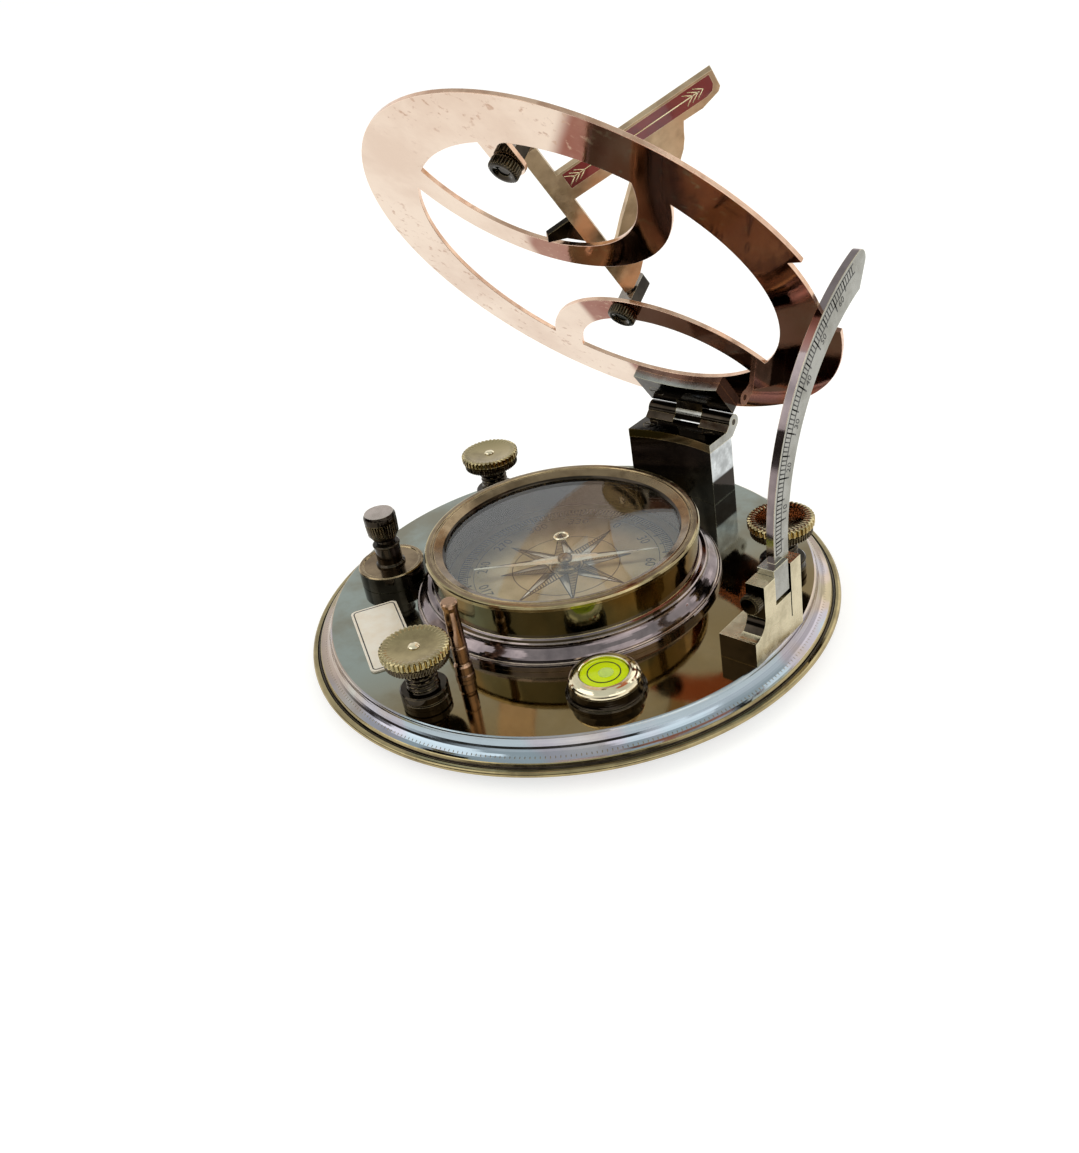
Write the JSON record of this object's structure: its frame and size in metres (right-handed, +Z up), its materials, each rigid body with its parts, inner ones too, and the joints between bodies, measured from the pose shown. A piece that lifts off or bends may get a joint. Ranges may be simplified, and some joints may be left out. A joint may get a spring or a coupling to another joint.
{
  "type": "equinoctial sundial compass",
  "caption": "Equinoctial sundial compass: tilting hour ring with a folding gnomon, latitude arc, magnetic compass, round level and needle lock on a round plate with levelling screws.",
  "frame": {"origin": "centre of the plane that the levelling screws' ends stand on, on the plate's axis", "axes": "+Z up, +Y towards the hinge of the hour ring, +X towards the latitude arc"},
  "size_m": [0.15, 0.15, 0.146],
  "materials": {
    "aged_brass": "aged, mirror polished",
    "bright_brass": "polished",
    "black_bronze": "dark bronzed, polished",
    "copper": "polished copper with light tarnish",
    "pale_brass": "lightly tarnished",
    "glass": "clear",
    "vial": "clear, tinted liquid",
    "enamel": "gloss enamel",
    "label": "satin",
    "needle_steel": "bright"
  },
  "bodies": {
    "base": {"base_plate": "aged_brass", "screw_bosses": "black_bronze", "compass_case": "aged_brass", "dial_plate": "pale_brass", "compass_glass": "glass", "bezel": "bright_brass", "needle_pin": "bright_brass", "lock_drum": "black_bronze", "lock_column": "black_bronze", "lever_fulcrum": "bright_brass", "lever_pin": "pale_brass", "rest_post": "bright_brass", "level_cup": "black_bronze", "level_ring": "bright_brass", "level_vial": "vial", "label_plate": "label", "plate_screws": "bright_brass", "hinge_block": "black_bronze", "lower_leaf": "black_bronze", "lower_leaf_screws": "black_bronze", "hinge_pin": "black_bronze", "arc_bracket": "bright_brass"},
    "ring": {"upper_leaf": "black_bronze", "upper_leaf_screws": "black_bronze", "hour_ring": "copper", "gnomon_post_upper": "black_bronze", "gnomon_post_lower": "black_bronze", "gnomon_nuts": "black_bronze"},
    "gnomon": {"gnomon": "pale_brass", "gnomon_enamel": "enamel", "gnomon_tail": "black_bronze"},
    "arc": {"latitude_arc": "pale_brass"},
    "clamp": {"clamp_screw": "black_bronze", "clamp_knob": "black_bronze"},
    "needle": {"needle": "needle_steel", "needle_cap": "bright_brass"},
    "knob": {"lock_knob": "black_bronze"},
    "lever": {"lock_lever": "bright_brass"},
    "lifter": {"needle_lifter": "pale_brass"},
    "shaft_1": {"levelling_shaft_1": "black_bronze"},
    "head_1": {"levelling_head_1": "bright_brass"},
    "shaft_2": {"levelling_shaft_2": "black_bronze"},
    "head_2": {"levelling_head_2": "bright_brass"},
    "shaft_3": {"levelling_shaft_3": "black_bronze"},
    "head_3": {"levelling_head_3": "bright_brass"}
  },
  "joints": [
    {"name": "ring_fold", "type": "hinge", "parent": "base", "child": "ring", "pos_m": [0, 0.066, 0.03305], "axis": [-1, 0, 0], "range_deg": [-52.7, 36.3]},
    {"name": "gnomon_fold", "type": "hinge", "parent": "ring", "child": "gnomon", "pos_m": [0, 0.03299, 0.09355], "axis": [0, 0.5924, -0.8056], "range_deg": [-133.5, 45.5]},
    {"name": "arc_fold", "type": "hinge", "parent": "base", "child": "arc", "pos_m": [0.0654, 0.0034, 0.0273], "axis": [0, 1, 0], "range_deg": [0, 80]},
    {"name": "clamp_turn", "type": "hinge", "parent": "base", "child": "clamp", "pos_m": [0.0654, 0.0034, 0.0273], "axis": [0, 1, 0], "range_deg": [-180, 180]},
    {"name": "needle_turn", "type": "hinge", "parent": "base", "child": "needle", "pos_m": [0, 0, 0.0171], "axis": [0, 0, 1], "continuous": true},
    {"name": "lock_turn", "type": "hinge", "parent": "base", "child": "knob", "pos_m": [-0.04905, -0.02235, 0.0211], "axis": [0, 0, -1], "range_deg": [0, 180]},
    {"name": "lever_rock", "type": "hinge", "parent": "base", "child": "lever", "pos_m": [-0.03085, -0.01406, 0.0062], "axis": [0.4147, -0.91, 0], "range_deg": [0, 1.35]},
    {"name": "lifter_rise", "type": "slide", "parent": "base", "child": "lifter", "axis": [0, 0, 1], "range_m": [0, 0.0008]},
    {"name": "level_slide_1", "type": "slide", "parent": "base", "child": "shaft_1", "axis": [0, 0, -1], "range_m": [-0.002, 0.002]},
    {"name": "level_turn_1", "type": "hinge", "parent": "shaft_1", "child": "head_1", "pos_m": [0.05088, 0.03142, 0.0251], "axis": [0, 0, -1], "range_deg": [-576, 576]},
    {"name": "level_slide_2", "type": "slide", "parent": "base", "child": "shaft_2", "axis": [0, 0, -1], "range_m": [-0.002, 0.002]},
    {"name": "level_turn_2", "type": "hinge", "parent": "shaft_2", "child": "head_2", "pos_m": [-0.05265, 0.02835, 0.0251], "axis": [0, 0, -1], "range_deg": [-576, 576]},
    {"name": "level_slide_3", "type": "slide", "parent": "base", "child": "shaft_3", "axis": [0, 0, -1], "range_m": [-0.002, 0.002]},
    {"name": "level_turn_3", "type": "hinge", "parent": "shaft_3", "child": "head_3", "pos_m": [0.00177, -0.05977, 0.0251], "axis": [0, 0, -1], "range_deg": [-576, 576]}
  ],
  "couplings": [
    {"joint": "lever_rock", "follows": "lifter_rise", "rad_per_m": 29.496},
    {"joint": "lock_turn", "follows": "lifter_rise", "rad_per_m": 3926.6},
    {"joint": "level_turn_1", "follows": "level_slide_1", "rad_per_m": 5026},
    {"joint": "level_turn_2", "follows": "level_slide_2", "rad_per_m": 5026},
    {"joint": "level_turn_3", "follows": "level_slide_3", "rad_per_m": 5026}
  ]
}
